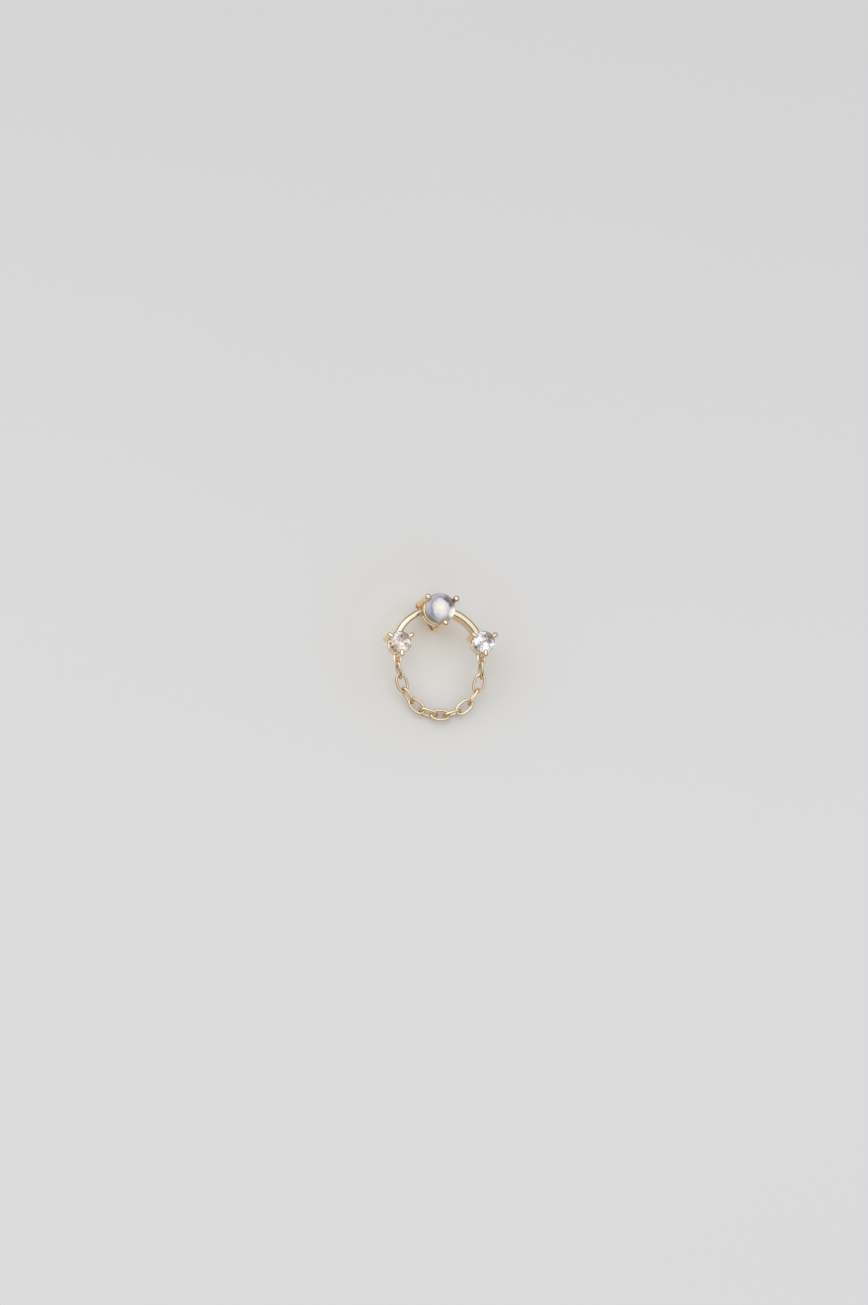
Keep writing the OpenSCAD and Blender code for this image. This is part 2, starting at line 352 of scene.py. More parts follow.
def seat_profile():
    """Half outline that holds a side stone with room all round."""
    r = SIDE_D / 2 + GAP
    half = GIRDLE_H / 2 + GAP
    return [(0, -half - PAVILION_SHARE * SIDE_D), (r, -half), (r, half),
            (SEAT_TOP * r, half + CROWN_SHARE * SIDE_D), (0, half + CROWN_SHARE * SIDE_D)]


def cabochon():
    """The large stone."""
    profile = cabochon_profile(edge=MOON_EDGE)
    return lathe("cabochon", profile, place=Matrix.Translation((0, MOON_Y, MOON_Z)))


# Soldered gold

def band_section():
    """Domed face, straight sides and softly rounded back, as (offset, height) points."""
    crown_steps, corner_steps = 14, 4
    half = BAND_W / 2
    corner = BAND_CORNER_R
    edge = math.degrees(math.asin(half / BAND_CROWN_R))
    crown = arc_profile(0, BAND_H - BAND_CROWN_R, BAND_CROWN_R, 90 - edge, 90 + edge, crown_steps)
    left = arc_profile(-half + corner, corner, corner, 180, 270, corner_steps)
    right = arc_profile(half - corner, corner, corner, 270, 360, corner_steps)
    return crown + left + right


def band():
    """Half ring whose lower corners are filed off at both ends."""
    section = band_section()
    steps = 180
    points = []
    for i in range(steps + 1):
        from_end = 2 * BAND_SWEEP * min(i, steps - i) / steps
        filed = max(0, HEEL - RING_R * math.radians(from_end))
        for offset, height in section:
            x, y = polar(RING_R + offset, 90 - BAND_SWEEP + 2 * BAND_SWEEP * i / steps)
            points.append((x, RING_Y + y, BACK_Z + max(height, filed)))
    return mesh_object("band", points, tube_faces(steps + 1, len(section), False))


def prong(centre, angle, foot_r, foot_z, tip_r, tip_z, wire, ball):
    """A wire that leans from foot to tip and ends in a ball, as one turned shape."""
    wire_steps, ball_steps = 8, 16
    foot = Vector((*polar(foot_r, angle), foot_z)) + Vector((*centre, 0))
    tip = Vector((*polar(tip_r, angle), tip_z)) + Vector((*centre, 0))
    height = (tip - foot).length
    neck = math.degrees(math.asin(min(1, wire / ball)))
    profile = [(0, 0), (wire / 2, 0)]
    profile += [(wire / 2, height * s / wire_steps) for s in range(1, wire_steps)]
    profile += arc_profile(0, height, ball / 2, neck - 90, 90, ball_steps)[1:-1]
    profile += [(0, height + ball / 2)]
    return lathe("prong", profile, steps=PRONG_STEPS, place=pointing(foot, tip - foot))


def side_claw(centre, angle):
    """Rounded cone that bends from a prong's top in over the stone."""
    end_steps = 8
    bend = Vector((*polar(SIDE_PRONG_R, angle), SIDE_TIP_Z)) + Vector((*centre, 0))
    inward = Vector((*polar(-1, angle), 0)) * math.cos(math.radians(CLAW_RISE))
    inward.z = math.sin(math.radians(CLAW_RISE))
    profile = [(0, 0), (SIDE_TIP_D / 2, 0)]
    profile += arc_profile(0, SIDE_CLAW_L, CLAW_END_R, 0, 90, end_steps)[:-1]
    profile += [(0, SIDE_CLAW_L + CLAW_END_R)]
    return lathe("claw", profile, steps=PRONG_STEPS, place=pointing(bend, inward))


def moon_setting():
    """Three upright prongs, joined by two wire rings."""
    centre = (0, MOON_Y)
    forms = [torus("base", MOON_BASE_R, BASE_WIRE, (*centre, MOON_BASE_Z)),
             torus("gallery", MOON_GALLERY_R, GALLERY_WIRE, (*centre, MOON_GALLERY_Z))]
    for angle in MOON_PRONG_ANGLES:
        forms.append(prong(centre, angle, MOON_PRONG_R, BACK_Z, MOON_PRONG_R, MOON_TIP_Z,
                           MOON_PRONG_D, MOON_TIP_D))
    return forms


def side_setting(x):
    """Three prongs with claws over the stone, joined by two wire rings."""
    centre = (x, SIDE_Y)
    forms = [torus("base", SIDE_BASE_R, BASE_WIRE, (*centre, SIDE_BASE_Z)),
             torus("gallery", SIDE_GALLERY_R, GALLERY_WIRE, (*centre, SIDE_GALLERY_Z))]
    for angle in SIDE_PRONG_ANGLES:
        upper = angle < 180
        foot_r = SIDE_FOOT_R + UPPER_FOOT_OUT * upper
        wire = SIDE_PRONG_D + UPPER_PRONG_MORE * upper
        forms.append(prong(centre, angle, foot_r, SIDE_FOOT_Z, SIDE_PRONG_R, SIDE_TIP_Z, wire, SIDE_TIP_D))
        forms.append(side_claw(centre, angle))
    return forms


def chain_loop(x):
    """Loop for the chain's end, with a flat tab, a tapered neck and two round legs to its setting."""
    forms = [torus("loop", LOOP_R, LOOP_WIRE, (x, LOOP_Y, LOOP_Z), steps=LOOP_STEPS),
             box("tab", (x - LOOP_R, NECK_Y - NECK_L, LOOP_Z - LOOP_WIRE / 2),
                 (x + LOOP_R, NECK_Y, LOOP_Z + LOOP_WIRE / 2))]
    neck = [(0, 0), (NECK_D / 2, 0), (NECK_END_R, NECK_L), (0, NECK_L)]
    leg = [(0, 0), (LOOP_WIRE / 2, 0), (LOOP_WIRE / 2, NECK_Y - LOOP_Y), (0, NECK_Y - LOOP_Y)]
    forward = Matrix.Rotation(math.pi / 2, 4, "X")
    for offset, profile in ((0, neck), (-LOOP_R, leg), (LOOP_R, leg)):
        start = Matrix.Translation((x + offset, NECK_Y, LOOP_Z))
        forms.append(lathe("neck", profile, steps=POST_STEPS, place=start @ forward))
    return forms


def ear_post():
    """Post with a bevelled tip, from just above the floor into the band."""
    r, top = POST_D / 2, BACK_Z + POST_ROOT
    profile = [(0, 0), (r - POST_BEVEL, 0), (r, POST_BEVEL), (r, top), (0, top)]
    return lathe("post", profile, steps=POST_STEPS, place=Matrix.Translation((0, POST_Y, GAP)))


def soldered_gold():
    """Band, settings, loops and post melted together, with the seats of the stones cut out."""
    forms = [band(), *moon_setting()]
    for x in (-SIDE_X, SIDE_X):
        forms += side_setting(x) + chain_loop(x)
    gold = melted("gold_setting", [*forms, ear_post()])
    cut(gold, lathe("seat", cabochon_profile(room=GAP), place=Matrix.Translation((0, MOON_Y, MOON_Z))))
    for x in (-SIDE_X, SIDE_X):
        cut(gold, lathe("seat", seat_profile(), place=Matrix.Translation((x, SIDE_Y, SIDE_Z))))
    drop_crumbs(gold)
    return gold


# Chain

def held_up(a):
    """Share of the loops' height that the chain keeps: 1 at its ends, and 0 where it lies."""
    return max(0, 1 - min(a, 180 - a) / LAND_ANGLE) ** 2


def chain_at(a):
    """Point of the chain's path at an angle of its half turn, from the left loop to the right one."""
    c = math.cos(math.radians(a))
    power = LEFT_POWER if c > 0 else RIGHT_POWER
    x = -math.copysign(SIDE_X * abs(c) ** power, c) + CHAIN_LEAN * (1 - held_up(a))
    y = CHAIN_Y - CHAIN_FALL * math.sin(math.radians(a))
    return Vector((x, y, FLOOR_Z + (LOOP_Z - FLOOR_Z) * held_up(a)))


# Points of the path, how far along it each one lies, and the links' pitch
PATH = [chain_at(i * 180 / PATH_STEPS) for i in range(PATH_STEPS + 1)]
RUNS = [0.0]
for here, there in zip(PATH, PATH[1:]):
    RUNS.append(RUNS[-1] + (there - here).length)
PITCH = (RUNS[-1] + sum(LINK_EASES)) / LINKS


def joint(k):
    """Point that lies k pitches along the chain, less what the links before it fall short."""
    if k <= 0:
        return PATH[0]
    if k >= LINKS:
        return PATH[-1]
    reach = k * PITCH - sum(LINK_EASES[:k])
    j = sum(1 for run in RUNS[1:] if run < reach)
    share = (reach - RUNS[j]) / (RUNS[j + 1] - RUNS[j])
    return PATH[j].lerp(PATH[j + 1], share)


def oval(steps):
    """Points on the middle of a link's wire."""
    half_l = (PITCH + LINK_WIRE + SLACK) / 2
    half_w = (LINK_W - LINK_WIRE) / 2
    points = []
    for s in range(steps):
        c, h = polar(1, 360 * (s + 0.5) / steps)
        points.append(Vector((half_l * math.copysign(abs(c) ** (2 / OVAL_POWER), c),
                              half_w * math.copysign(abs(h) ** (2 / OVAL_POWER), h), 0)))
    return points


def link(k):
    """Wire bent to a squarish oval, turned as it lies in the chain."""
    centres = oval(TURN_STEPS)
    points = []
    for s, centre in enumerate(centres):
        ahead = (centres[(s + 1) % TURN_STEPS] - centres[s - 1]).normalized()
        outward = Vector((ahead.y, -ahead.x, 0))
        for j in range(WIRE_SIDES):
            off, rise = polar(LINK_WIRE / 2, 360 * j / WIRE_SIDES)
            points.append(centre + outward * off + Vector((0, 0, rise)))
    start, end = joint(k - 1), joint(k)
    way = end - start
    heading = Matrix.Rotation(math.atan2(way.y, way.x), 4, "Z")
    drop = Matrix.Rotation(math.atan2(-way.z, math.hypot(way.x, way.y)), 4, "Y")
    roll = Matrix.Rotation(math.radians(LINK_TURNS[k - 1]), 4, "X")
    place = Matrix.Translation(start + way / 2) @ heading @ drop @ roll
    return mesh_object(f"chain_{k:02d}", [place @ p for p in points],
                       tube_faces(TURN_STEPS, WIRE_SIDES, True))


# Clutch

def clutch_path():
    """Middle line of the strip, as (x, z) points: a curl, the plate, and the other curl."""
    curl_steps, plate_steps = 40, 16
    mid_r = (CLUTCH_H - CLUTCH_T) / 2
    curl_x = CLUTCH_L / 2 - CLUTCH_H / 2
    curl_z = CLUTCH_H / 2
    right = arc_profile(curl_x, curl_z, mid_r, CURL_END, 90, curl_steps)
    plate = [(curl_x * (1 - 2 * s / plate_steps), curl_z + mid_r) for s in range(1, plate_steps)]
    return right + plate + [(-x, z) for x, z in reversed(right)]


def clutch_half_width(place):
    """Half the strip's width at a point: it narrows from its waist to its feet and to its ends."""
    waist_z = CLUTCH_H * 0.75
    waist_x, end_x = CLUTCH_L / 4, CLUTCH_L / 2 + 0.01
    share = max(0, min(1, place.z / waist_z, (end_x - abs(place.x)) / (end_x - waist_x)))
    return (CLUTCH_FOOT_W + (CLUTCH_W - CLUTCH_FOOT_W) * share) / 2


def clutch():
    """Strip with a curl below each end and a hole for the post in its plate, widened at its top to
    clear the solder round the post."""
    path = clutch_path()
    columns = 12
    points = []
    for i, (x, z) in enumerate(path):
        ahead, behind = path[min(i + 1, len(path) - 1)], path[max(i - 1, 0)]
        onward = Vector((ahead[0] - behind[0], 0, ahead[1] - behind[1])).normalized()
        normal = Vector((onward.z, 0, -onward.x))
        for side in (1, -1):
            place = Vector((x, 0, z)) + normal * (side * CLUTCH_T / 2)
            edge = side * clutch_half_width(place)
            points += [place + Vector((0, edge * (2 * j / columns - 1), 0)) for j in range(columns + 1)]
    strip = mesh_object("clutch_strip", points, tube_faces(len(path), 2 * (columns + 1), False))
    below, above = -1, 4
    wide_r = HOLE_R + HOLE_SINK
    hole = [(0, below), (HOLE_R, below), (HOLE_R, CLUTCH_H - HOLE_SINK), (wide_r, CLUTCH_H),
            (wide_r, above), (0, above)]
    cut(strip, lathe("hole", hole, steps=POST_STEPS))
    round_edges(strip, CLUTCH_EDGE)
    turn = Matrix.Rotation(math.radians(CLUTCH_TURN), 4, "Z")
    strip.data.transform(Matrix.Translation((0, POST_Y, 0)) @ turn)
    return strip


# Shader nodes

def grey(tone):
    return tone, tone, tone


def material(name):
    """New material, with its nodes, its links and its shader."""
    mat = bpy.data.materials.new(name)
    mat.use_nodes = True
    nodes, links = mat.node_tree.nodes, mat.node_tree.links
    return mat, nodes, links, nodes["Principled BSDF"]


def noise(nodes, links, per_metre, detail=2.0):
    """Noise in the part's own coordinates, with about so many features per metre."""
    coords = nodes.new("ShaderNodeTexCoord")
    texture = nodes.new("ShaderNodeTexNoise")
    texture.inputs["Scale"].default_value = per_metre
    texture.inputs["Detail"].default_value = detail
    links.new(coords.outputs["Object"], texture.inputs["Vector"])
    return texture.outputs["Fac"]


def ramp(nodes, links, source, stops, kind="LINEAR"):
    """Colour by a number, from stops of (place, colour)."""
    node = nodes.new("ShaderNodeValToRGB")
    node.color_ramp.interpolation = kind
    elements = node.color_ramp.elements
    while len(elements) < len(stops):
        elements.new(0.5)
    for element, (place, colour) in zip(elements, stops):
        element.position = place
        element.color = (*colour, 1)
    links.new(source, node.inputs["Fac"])
    return node.outputs["Color"]


def map_range(nodes, links, source, low, high, from_low=0.0, from_high=1.0):
    """Number that goes from low to high as the source goes through its own range."""
    node = nodes.new("ShaderNodeMapRange")
    node.inputs["From Min"].default_value = from_low
    node.inputs["From Max"].default_value = from_high
    node.inputs["To Min"].default_value = low
    node.inputs["To Max"].default_value = high
    links.new(source, node.inputs["Value"])
    return node.outputs["Result"]


def mixed(nodes, links, share, first, second, blend="MIX"):
    """Colour that goes from the first input to the second, or to their blend, as the share goes to 1."""
    node = nodes.new("ShaderNodeMix")
    node.data_type = "RGBA"
    node.blend_type = blend
    sockets = [socket for socket in node.inputs if socket.type == "RGBA"]
    if isinstance(share, float):
        node.inputs["Factor"].default_value = share
    else:
        links.new(share, node.inputs["Factor"])
    links.new(first, sockets[0])
    links.new(second, sockets[1])
    return next(socket for socket in node.outputs if socket.type == "RGBA")


def times(nodes, links, first, second):
    """Product of two colours."""
    return mixed(nodes, links, 1.0, first, second, "MULTIPLY")


def length_of(nodes, links, vector):
    """Length of a vector."""
    node = nodes.new("ShaderNodeVectorMath")
    node.operation = "LENGTH"
    links.new(vector, node.inputs[0])
    return node.outputs["Value"]


def place_along(nodes, links, way, centre, reach):
    """Place along a direction, from 0 to 1 over the reach to both sides of a centre."""
    coords = nodes.new("ShaderNodeTexCoord")
    dot = nodes.new("ShaderNodeVectorMath")
    dot.operation = "DOT_PRODUCT"
    dot.inputs[1].default_value = way
    links.new(coords.outputs["Object"], dot.inputs[0])
    middle = Vector(centre).dot(Vector(way))
    return map_range(nodes, links, dot.outputs["Value"], 0, 1,
                     from_low=(middle - reach) * MM, from_high=(middle + reach) * MM)


def place_over(nodes, links, centre, reach, ripple):
    """Place over a stone, from -1 to 1 to the photograph's right and up, moved a little by noise."""
    plain = nodes.new("ShaderNodeCombineXYZ")
    for axis, way in (("X", (1, 0, 0.27)), ("Y", (0, 1, 0.25))):
        links.new(place_along(nodes, links, way, centre, reach), plain.inputs[axis])
    shift = map_range(nodes, links, noise(nodes, links, 1300, detail=3.0), -0.5 - ripple, ripple - 0.5)
    centred = nodes.new("ShaderNodeVectorMath")
    links.new(plain.outputs["Vector"], centred.inputs[0])
    links.new(shift, centred.inputs[1])
    doubled = nodes.new("ShaderNodeVectorMath")
    doubled.operation = "MULTIPLY"
    doubled.inputs[1].default_value = (2, 2, 0)
    links.new(centred.outputs["Vector"], doubled.inputs[0])
    return doubled.outputs["Vector"]


def angle_round(nodes, links, place):
    """Angle about the centre: 0.25 below it, 0.5 to its right, 0.75 above it, and 0 or 1 to its left."""
    turn = nodes.new("ShaderNodeTexGradient")
    turn.gradient_type = "RADIAL"
    links.new(place, turn.inputs["Vector"])
    return turn.outputs["Fac"]


# Gold

def painted_shade_by_facing(stops):
    """Colour by how far the surface faces up: painted shade and painted reflection of gold where it faces
    down, and a painted highlight where it faces up.
    """
    def colour(nodes, links):
        surface = nodes.new("ShaderNodeNewGeometry")
        normal = nodes.new("ShaderNodeSeparateXYZ")
        links.new(surface.outputs["Normal"], normal.inputs["Vector"])
        uneven = nodes.new("ShaderNodeMath")
        links.new(normal.outputs["Z"], uneven.inputs[0])
        links.new(map_range(nodes, links, noise(nodes, links, 1500), -0.25, 0.25), uneven.inputs[1])
        return ramp(nodes, links, uneven.outputs["Value"], stops)
    return colour


def by_place(way, centre, reach, stops):
    """Colour by the place along a direction."""
    return lambda nodes, links: ramp(nodes, links, place_along(nodes, links, way, centre, reach), stops)


def both(first, second):
    """Product of two such colours."""
    return lambda nodes, links: times(nodes, links, first(nodes, links), second(nodes, links))


def polished_gold(name, colour):
    """Gold with faint wear, in the colour that a function of the nodes and links makes."""
    mat, nodes, links, shader = material(name)
    shader.inputs["Metallic"].default_value = 1.0
    links.new(colour(nodes, links), shader.inputs["Base Color"])
    wear = noise(nodes, links, 5200, detail=4.0)
    links.new(map_range(nodes, links, wear, 0.08, 0.2), shader.inputs["Roughness"])
    bump = nodes.new("ShaderNodeBump")
    bump.inputs["Strength"].default_value = 0.12
    bump.inputs["Distance"].default_value = 0.00002
    links.new(noise(nodes, links, 2600, detail=3.0), bump.inputs["Height"])
    links.new(bump.outputs["Normal"], shader.inputs["Normal"])
    return mat


# Colours by how far the gold faces up, and by the place along a piece in the photograph
# Painted light and shade: deep tones where the gold faces down and pale ones where it faces up; the setting
# painted darker towards its right; the clutch painted deeper along its middle
SETTING_SHADE_TO_HIGHLIGHT = [(0.1, (0.98, 0.74, 0.46)), (0.6, (0.98, 0.80, 0.55)), (0.9, (1.0, 0.89, 0.69))]
SETTING_SHADE_TO_RIGHT = [(0.1, grey(1)), (0.6, (0.95, 0.94, 0.93)), (1.0, (0.86, 0.84, 0.83))]
CHAIN_SHADE_TO_HIGHLIGHT = [(0.1, (0.66, 0.45, 0.24)), (0.55, (0.90, 0.69, 0.43)), (0.85, (0.99, 0.84, 0.62))]
CLUTCH_SHADE_ALONG = [(0.0, (0.99, 0.81, 0.55)), (0.45, (0.97, 0.75, 0.48)), (0.8, (0.98, 0.72, 0.44)),
                      (1.0, (1.0, 0.82, 0.56))]


def setting_gold():
    facing = painted_shade_by_facing(SETTING_SHADE_TO_HIGHLIGHT)
    # Painted shade: the setting darkens towards its right
    right_shade = by_place((1, 0, 0), (0, 0, 0), SIDE_X + SIDE_D / 2, SETTING_SHADE_TO_RIGHT)
    return polished_gold("polished_gold", both(facing, right_shade))


def chain_gold():
    return polished_gold("chain_gold", painted_shade_by_facing(CHAIN_SHADE_TO_HIGHLIGHT))


def clutch_gold():
    strip_way = (-0.5, 0.866, 0)
    # Painted shade and reflection of gold: the clutch is deeper and more orange between its ends
    clutch_shade = by_place(strip_way, (0, POST_Y, 0), CLUTCH_L / 2, CLUTCH_SHADE_ALONG)
    return polished_gold("clutch_gold", clutch_shade)


# Moonstone

# Painted sheen, highlights and shade round its rim, by the angle of angle_round
MOON_RIM_SHEEN_AND_SHADE = [
    (0.0, (0.69, 0.68, 0.77)), (0.12, (0.43, 0.46, 0.60)), (0.25, (1.0, 0.97, 0.88)),
    (0.37, (0.78, 0.74, 0.70)), (0.42, (1.0, 1.0, 0.97)), (0.49, (0.88, 0.83, 0.80)),
    (0.53, (0.34, 0.27, 0.26)), (0.65, (0.29, 0.22, 0.26)), (0.72, (0.68, 0.70, 0.76)),
    (0.88, (0.75, 0.73, 0.76)), (1.0, (0.69, 0.68, 0.77))]
# Tones of the painted glow and of the painted shade and blue sheen just outside it, by the distance from
# the glow's middle. The glow's edge is at 0.5
MOON_GLOW = [(0.0, (1.0, 0.98, 0.93)), (0.3, (0.93, 0.92, 0.92)), (0.45, (0.76, 0.76, 0.82))]
MOON_SHADE = [(0.45, (0.49, 0.55, 0.68)), (0.64, grey(1))]
# Painted shade: a dark line at the very edge, by the distance from the stone's middle, and its strength by
# the angle
MOON_EDGE_SHADE = [(0.84, grey(1)), (0.97, (0.28, 0.29, 0.32))]
MOON_EDGE_SHADE_SHARE = [(0.0, grey(0)), (0.1, grey(0.7)), (0.2, grey(1)), (0.32, grey(1)), (0.37, grey(0)),
                   (0.7, grey(0)), (0.78, grey(0.6)), (0.86, grey(0.6)), (0.92, grey(0))]
# Cloudiness all over, by noise
MOON_MILK = [(0.35, (0.84, 0.85, 0.92)), (0.5, grey(1)), (0.65, (1.0, 0.97, 0.92))]
# Painted light, as if from inside the stone, at the right of the rim by the angle, and in the glow by the
# distance
MOON_RIM_LIGHT = [(0.36, grey(0)), (0.41, (0.32, 0.32, 0.30)), (0.48, (0.32, 0.32, 0.30)), (0.525, grey(0))]
MOON_GLOW_LIGHT = [(0.0, (0.14, 0.14, 0.12)), (0.42, grey(0))]


def moonstone():
    """Milky stone with a painted glow inside, a painted blue sheen to its left, painted highlights below
    and to its right, and painted plum shade at its upper right.
    """
    mat, nodes, links, shader = material("moonstone")
    place = place_over(nodes, links, (0, MOON_Y, MOON_Z), MOON_D / 2, ripple=0.1)
    turn = angle_round(nodes, links, place)
    # The painted glow is an oval, a little off the stone's middle
    glow_place = nodes.new("ShaderNodeMapping")
    glow_place.inputs["Location"].default_value = (-0.08, 0.04, 0)
    glow_place.inputs["Scale"].default_value = (1.55, 1.33, 0)
    links.new(place, glow_place.inputs["Vector"])
    from_glow = length_of(nodes, links, glow_place.outputs["Vector"])
    distance = map_range(nodes, links, from_glow, 0, 1, from_low=0, from_high=2)
    outside = map_range(nodes, links, from_glow, 0, 1, from_low=0.86, from_high=1.02)
    glow = ramp(nodes, links, distance, MOON_GLOW)
    painted_rim = times(nodes, links, ramp(nodes, links, turn, MOON_RIM_SHEEN_AND_SHADE), ramp(nodes, links, distance, MOON_SHADE))
    # Painted shade round the stone's edge
    line = ramp(nodes, links, length_of(nodes, links, place), MOON_EDGE_SHADE)
    painted_rim = mixed(nodes, links, ramp(nodes, links, turn, MOON_EDGE_SHADE_SHARE), painted_rim, line, "MULTIPLY")
    milk = ramp(nodes, links, noise(nodes, links, 3400, detail=3.0), MOON_MILK)
    tone = times(nodes, links, mixed(nodes, links, outside, glow, painted_rim), milk)
    links.new(tone, shader.inputs["Base Color"])
    # Painted light: the stone glows, though it is no lamp
    glow_light = ramp(nodes, links, distance, MOON_GLOW_LIGHT)
    rim_light = ramp(nodes, links, turn, MOON_RIM_LIGHT)
    links.new(mixed(nodes, links, outside, glow_light, rim_light), shader.inputs["Emission Color"])
    shader.inputs["Emission Strength"].default_value = 1.0
    shader.inputs["Roughness"].default_value = 0.04
    shader.inputs["IOR"].default_value = 1.53
    shader.inputs["Transmission Weight"].default_value = 0.2
    shader.inputs["Subsurface Weight"].default_value = 0.15
    shader.inputs["Subsurface Radius"].default_value = (0.9, 0.95, 1.2)
    shader.inputs["Subsurface Scale"].default_value = 0.0001
    return mat


# Side stones

# Painted glints and dark reflections of the facets round the edge, by the angle of angle_round, over the
# champagne stone's own warm tone
CHAMPAGNE_GLINTS_ROUND = [
    (0.0, (0.52, 0.36, 0.26)), (0.07, (0.22, 0.13, 0.08)), (0.2, (0.44, 0.33, 0.25)),
    (0.3, (0.70, 0.63, 0.56)), (0.38, (0.42, 0.37, 0.32)), (0.46, (1.0, 0.98, 0.96)),
    (0.56, (0.74, 0.68, 0.61)), (0.66, (0.88, 0.90, 0.92)), (0.8, grey(1)), (0.93, (0.72, 0.58, 0.47))]
WHITE_GLINTS_ROUND = [
    (0.0, (0.98, 0.95, 1.0)), (0.05, (0.28, 0.25, 0.31)), (0.14, (0.54, 0.51, 0.55)),
    (0.22, grey(0.98)), (0.32, (0.52, 0.49, 0.52)), (0.4, (1.0, 0.98, 0.98)),
    (0.47, (0.38, 0.36, 0.34)), (0.56, (0.24, 0.21, 0.18)), (0.66, (0.46, 0.44, 0.42)),
    (0.8, (1.0, 0.99, 1.0))]
# Directions across the middle, the painted reflections along them, and the tone of the painted shade at the
# edge
CHAMPAGNE_WAY, WHITE_WAY = (0.5, 0.87, 0), (-0.2, 0.98, 0)
CHAMPAGNE_TABLE_REFLECTIONS = [(0.25, (0.50, 0.37, 0.28)), (0.42, (0.80, 0.75, 0.69)), (0.52, (0.91, 0.95, 0.98)),
                    (0.8, (0.97, 0.99, 1.0))]
WHITE_TABLE_REFLECTIONS = [(0.3, grey(1)), (0.46, (0.90, 0.91, 0.91)), (0.5, (0.32, 0.31, 0.33)),
                (0.56, (0.98, 0.99, 0.98))]
CHAMPAGNE_EDGE_SHADE, WHITE_EDGE_SHADE = (0.62, 0.48, 0.37), (0.66, 0.63, 0.64)
# Painted glints: light from the palest facets, by their tone
GLINT_LIGHT = [(0.88, grey(0)), (0.98, grey(0.09))]


def cut_stone(name, x, glints_round, way, reflections_over, line):
    """Clear stone with painted glints and reflections that change from facet to facet round its edge and
    along a way in its middle, painted shade at its edge and painted light from its palest facets.
    """
    mat, nodes, links, shader = material(name)
    centre = (x, SIDE_Y, SIDE_Z)
    place = place_over(nodes, links, centre, SIDE_D / 2, ripple=0.03)
    outer = ramp(nodes, links, angle_round(nodes, links, place), glints_round, "CONSTANT")
    middle = ramp(nodes, links, place_along(nodes, links, way, centre, SIDE_D / 2), reflections_over)
    from_middle = length_of(nodes, links, place)
    outside = map_range(nodes, links, from_middle, 0, 1, from_low=0.42, from_high=0.52)
    # Painted shade round the stone's edge, where it meets its seat
    edge = ramp(nodes, links, from_middle, [(0.84, grey(1)), (0.95, line)])
    tone = times(nodes, links, mixed(nodes, links, outside, middle, outer), edge)
    links.new(tone, shader.inputs["Base Color"])
    # Painted light: the palest facets glow, though the stone is no lamp
    links.new(ramp(nodes, links, tone, GLINT_LIGHT), shader.inputs["Emission Color"])
    shader.inputs["Emission Strength"].default_value = 1.0
    shader.inputs["Roughness"].default_value = 0.0
    shader.inputs["IOR"].default_value = 1.9
    shader.inputs["Transmission Weight"].default_value = 1.0
    return mat


# Floor

# Middle of the painted pool of light and its reach, in metres
GLOW_MIDDLE, GLOW_REACH = (-0.0004, 0.0012, 0), 0.014
FLOOR_GLOW = [(0.0, grey(0.85)), (0.2, grey(0.845)), (0.38, grey(0.795)), (0.62, (0.754, 0.754, 0.759)),
              (1.0, (0.754, 0.754, 0.765))]
# Painted shade: the floor darkens away from the viewer, from so many millimetres before the earring to as
# many behind it
FALL_REACH = 65
FLOOR_SHADE_AWAY = [(0.34, grey(1)), (0.59, grey(0.975)), (1.0, grey(0.92))]
FLOOR_TONE = [(0.3, grey(0.99)), (0.7, grey(1))]


def pale_floor():
    """Plain pale surface, painted a little brighter below the earring as the light that polished gold
    throws there, and painted darker away from the viewer.
    """
    mat, nodes, links, shader = material("pale_floor")
    coords = nodes.new("ShaderNodeTexCoord")
    away = nodes.new("ShaderNodeVectorMath")
    away.operation = "DISTANCE"
    away.inputs[1].default_value = GLOW_MIDDLE
    links.new(coords.outputs["Object"], away.inputs[0])
    near = map_range(nodes, links, away.outputs["Value"], 0, 1, from_low=0, from_high=GLOW_REACH)
    # Painted pool of light below the earring
    glow = ramp(nodes, links, near, FLOOR_GLOW, "EASE")
    tone = ramp(nodes, links, noise(nodes, links, 14), FLOOR_TONE)
    # Painted shade away from the viewer
    fall = ramp(nodes, links, place_along(nodes, links, (0, 1, 0), (0, 0, 0), FALL_REACH), FLOOR_SHADE_AWAY)
    links.new(times(nodes, links, times(nodes, links, glow, fall), tone), shader.inputs["Base Color"])
    shader.inputs["Roughness"].default_value = 0.85
    shader.inputs["Specular IOR Level"].default_value = 0.2
    return mat


# Pieces

def dress(obj, mat):
    """Gives an object one material."""
    obj.data.materials.clear()
    obj.data.materials.append(mat)


def finish_piece(obj, mat, slot, *nodes):
    """Scales a piece to metres, dresses it and lets it stand for its nodes."""
    obj.data.transform(Matrix.Scale(MM, 4))
    dress(obj, mat)
    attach(obj, "root")
    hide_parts(*nodes)


finish_piece(soldered_gold(), setting_gold(), "gold", "setting_arc")
finish_piece(clutch(), clutch_gold(), "gold", "clutch")
LINK_GOLD = chain_gold()
for number in range(1, LINKS + 1):
    finish_piece(link(number), LINK_GOLD, "gold", f"link_{number:02d}")
finish_piece(cabochon(), moonstone(), "moonstone", "stone_top")
dress(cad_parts["stone_left"], cut_stone(
    "champagne_stone", -SIDE_X, CHAMPAGNE_GLINTS_ROUND, CHAMPAGNE_WAY, CHAMPAGNE_TABLE_REFLECTIONS, CHAMPAGNE_EDGE_SHADE))
dress(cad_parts["stone_right"], cut_stone(
    "white_stone", SIDE_X, WHITE_GLINTS_ROUND, WHITE_WAY, WHITE_TABLE_REFLECTIONS, WHITE_EDGE_SHADE))


# Stage, in metres

SCENE = bpy.context.scene
FLOOR_HALF = 3
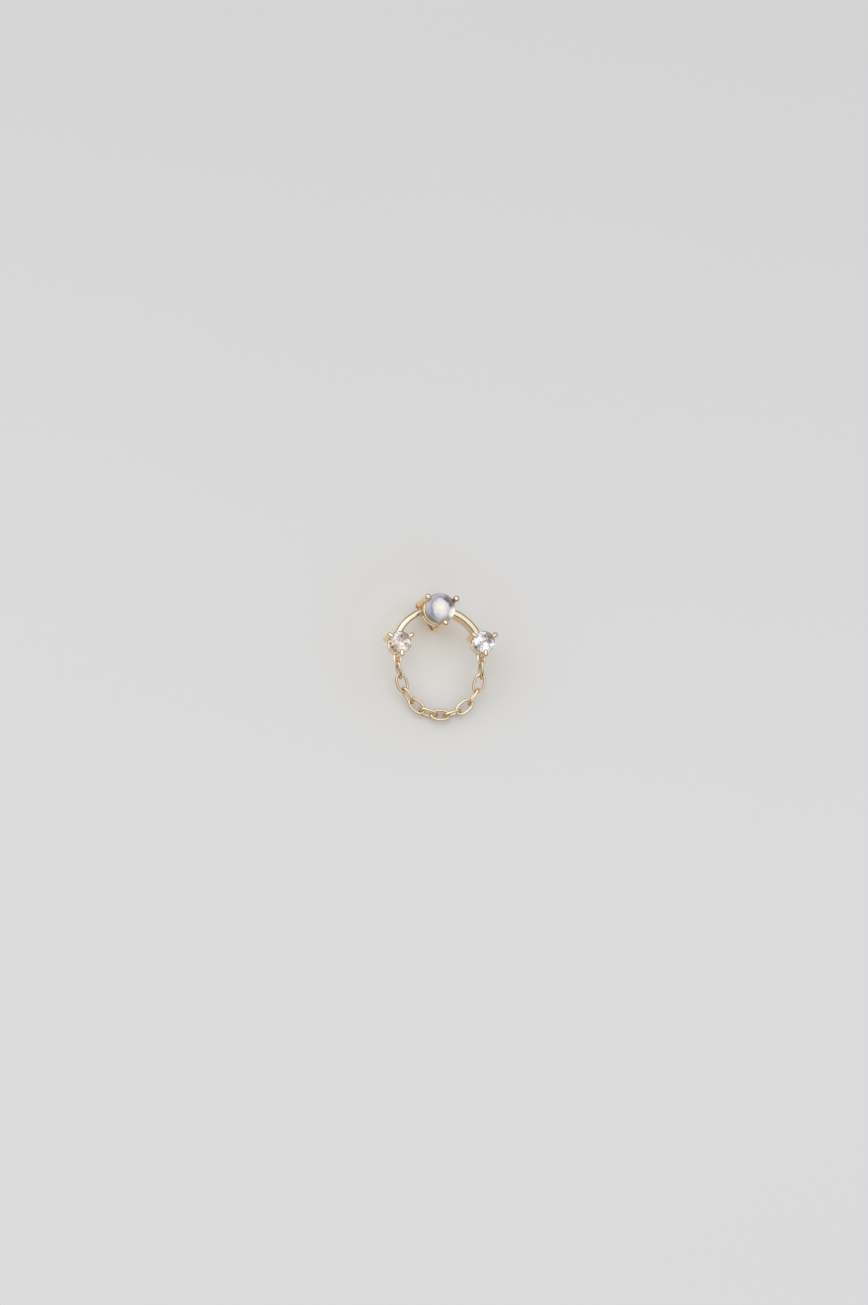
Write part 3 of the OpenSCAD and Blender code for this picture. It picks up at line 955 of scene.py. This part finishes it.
# What polished metal and cut stones mirror: a bright ceiling over dark walls, by height
CEILING = [(0.0, (0.06, 0.045, 0.03)), (0.3, (0.12, 0.085, 0.055)), (0.5, (0.40, 0.36, 0.31)),
           (0.7, grey(0.95)), (1.0, (1.0, 1.0, 1.02))]
# What lights soft surfaces such as the floor, by height
EVEN_LIGHT = [(0.0, (0.84, 0.82, 0.78)), (1.0, (0.87, 0.85, 0.81))]
# Key light, with its power in watts
KEY_PLACE, KEY_SIZE, KEY_POWER, KEY_COLOUR = (-0.45, 0.4, 0.7), 0.9, 1.7, (0.86, 0.96, 1.12)

# The camera's basis: the way back to it, and the picture's right and up
BACK = Vector((-0.269, -0.2365, 0.9336))
RIGHT = Vector((0.9631, -0.0660, 0.2607))
UP = Vector((0, 0.9692, 0.2455))
CAMERA_DISTANCE = 1.2
# Sensor, in millimetres
SENSOR = 36
# The photograph's frame, its scale, and the pixel at which the part's origin lies
FRAME_PX = (868, 1305)
PX_PER_MM = 10.3
ORIGIN_PX = (431.35, 660.2)


def lay_floor():
    """Square floor round the earring."""
    h = FLOOR_HALF
    mesh = bpy.data.meshes.new("floor")
    mesh.from_pydata([(-h, -h, 0), (h, -h, 0), (h, h, 0), (-h, h, 0)], [], [(0, 1, 2, 3)])
    floor = linked("floor", mesh)
    dress(floor, pale_floor())


def studio_sky():
    """World in which polished surfaces mirror the ceiling, and soft ones are lit evenly."""
    world = bpy.data.worlds.new("studio")
    SCENE.world = world
    world.use_nodes = True
    nodes, links = world.node_tree.nodes, world.node_tree.links
    direction = nodes.new("ShaderNodeTexCoord")
    height = nodes.new("ShaderNodeSeparateXYZ")
    links.new(direction.outputs["Generated"], height.inputs["Vector"])
    ceiling = ramp(nodes, links, height.outputs["Z"], CEILING)
    even = ramp(nodes, links, height.outputs["Z"], EVEN_LIGHT)
    bounces = nodes.new("ShaderNodeLightPath").outputs["Diffuse Depth"]
    background = nodes["Background"]
    links.new(mixed(nodes, links, bounces, ceiling, even), background.inputs["Color"])
    background.inputs["Strength"].default_value = 1.0


def key_light():
    """Soft square light that looks at the earring."""
    data = bpy.data.lights.new("key", "AREA")
    data.shape = "RECTANGLE"
    data.size = data.size_y = KEY_SIZE
    data.energy = KEY_POWER
    data.color = KEY_COLOUR
    light = linked("key", data)
    light.location = KEY_PLACE
    light.rotation_euler = (-Vector(KEY_PLACE)).to_track_quat("-Z", "Y").to_euler()


def camera():
    """Camera at the photograph's angle, with its frame and scale."""
    data = bpy.data.cameras.new("camera")
    data.sensor_width = SENSOR
    data.lens = SENSOR * CAMERA_DISTANCE / (FRAME_PX[1] / PX_PER_MM * MM)
    data.clip_start = 0.01
    right_px, up_px = FRAME_PX[0] / 2 - ORIGIN_PX[0], ORIGIN_PX[1] - FRAME_PX[1] / 2
    aim = (RIGHT * right_px + UP * up_px) * (MM / PX_PER_MM)
    basis = Matrix((RIGHT, UP, BACK)).transposed().to_4x4()
    eye = linked("camera", data)
    eye.matrix_world = Matrix.Translation(aim + BACK * CAMERA_DISTANCE) @ basis
    SCENE.camera = eye


SCENE.view_settings.view_transform = "Standard"
lay_floor()
studio_sky()
key_light()
camera()
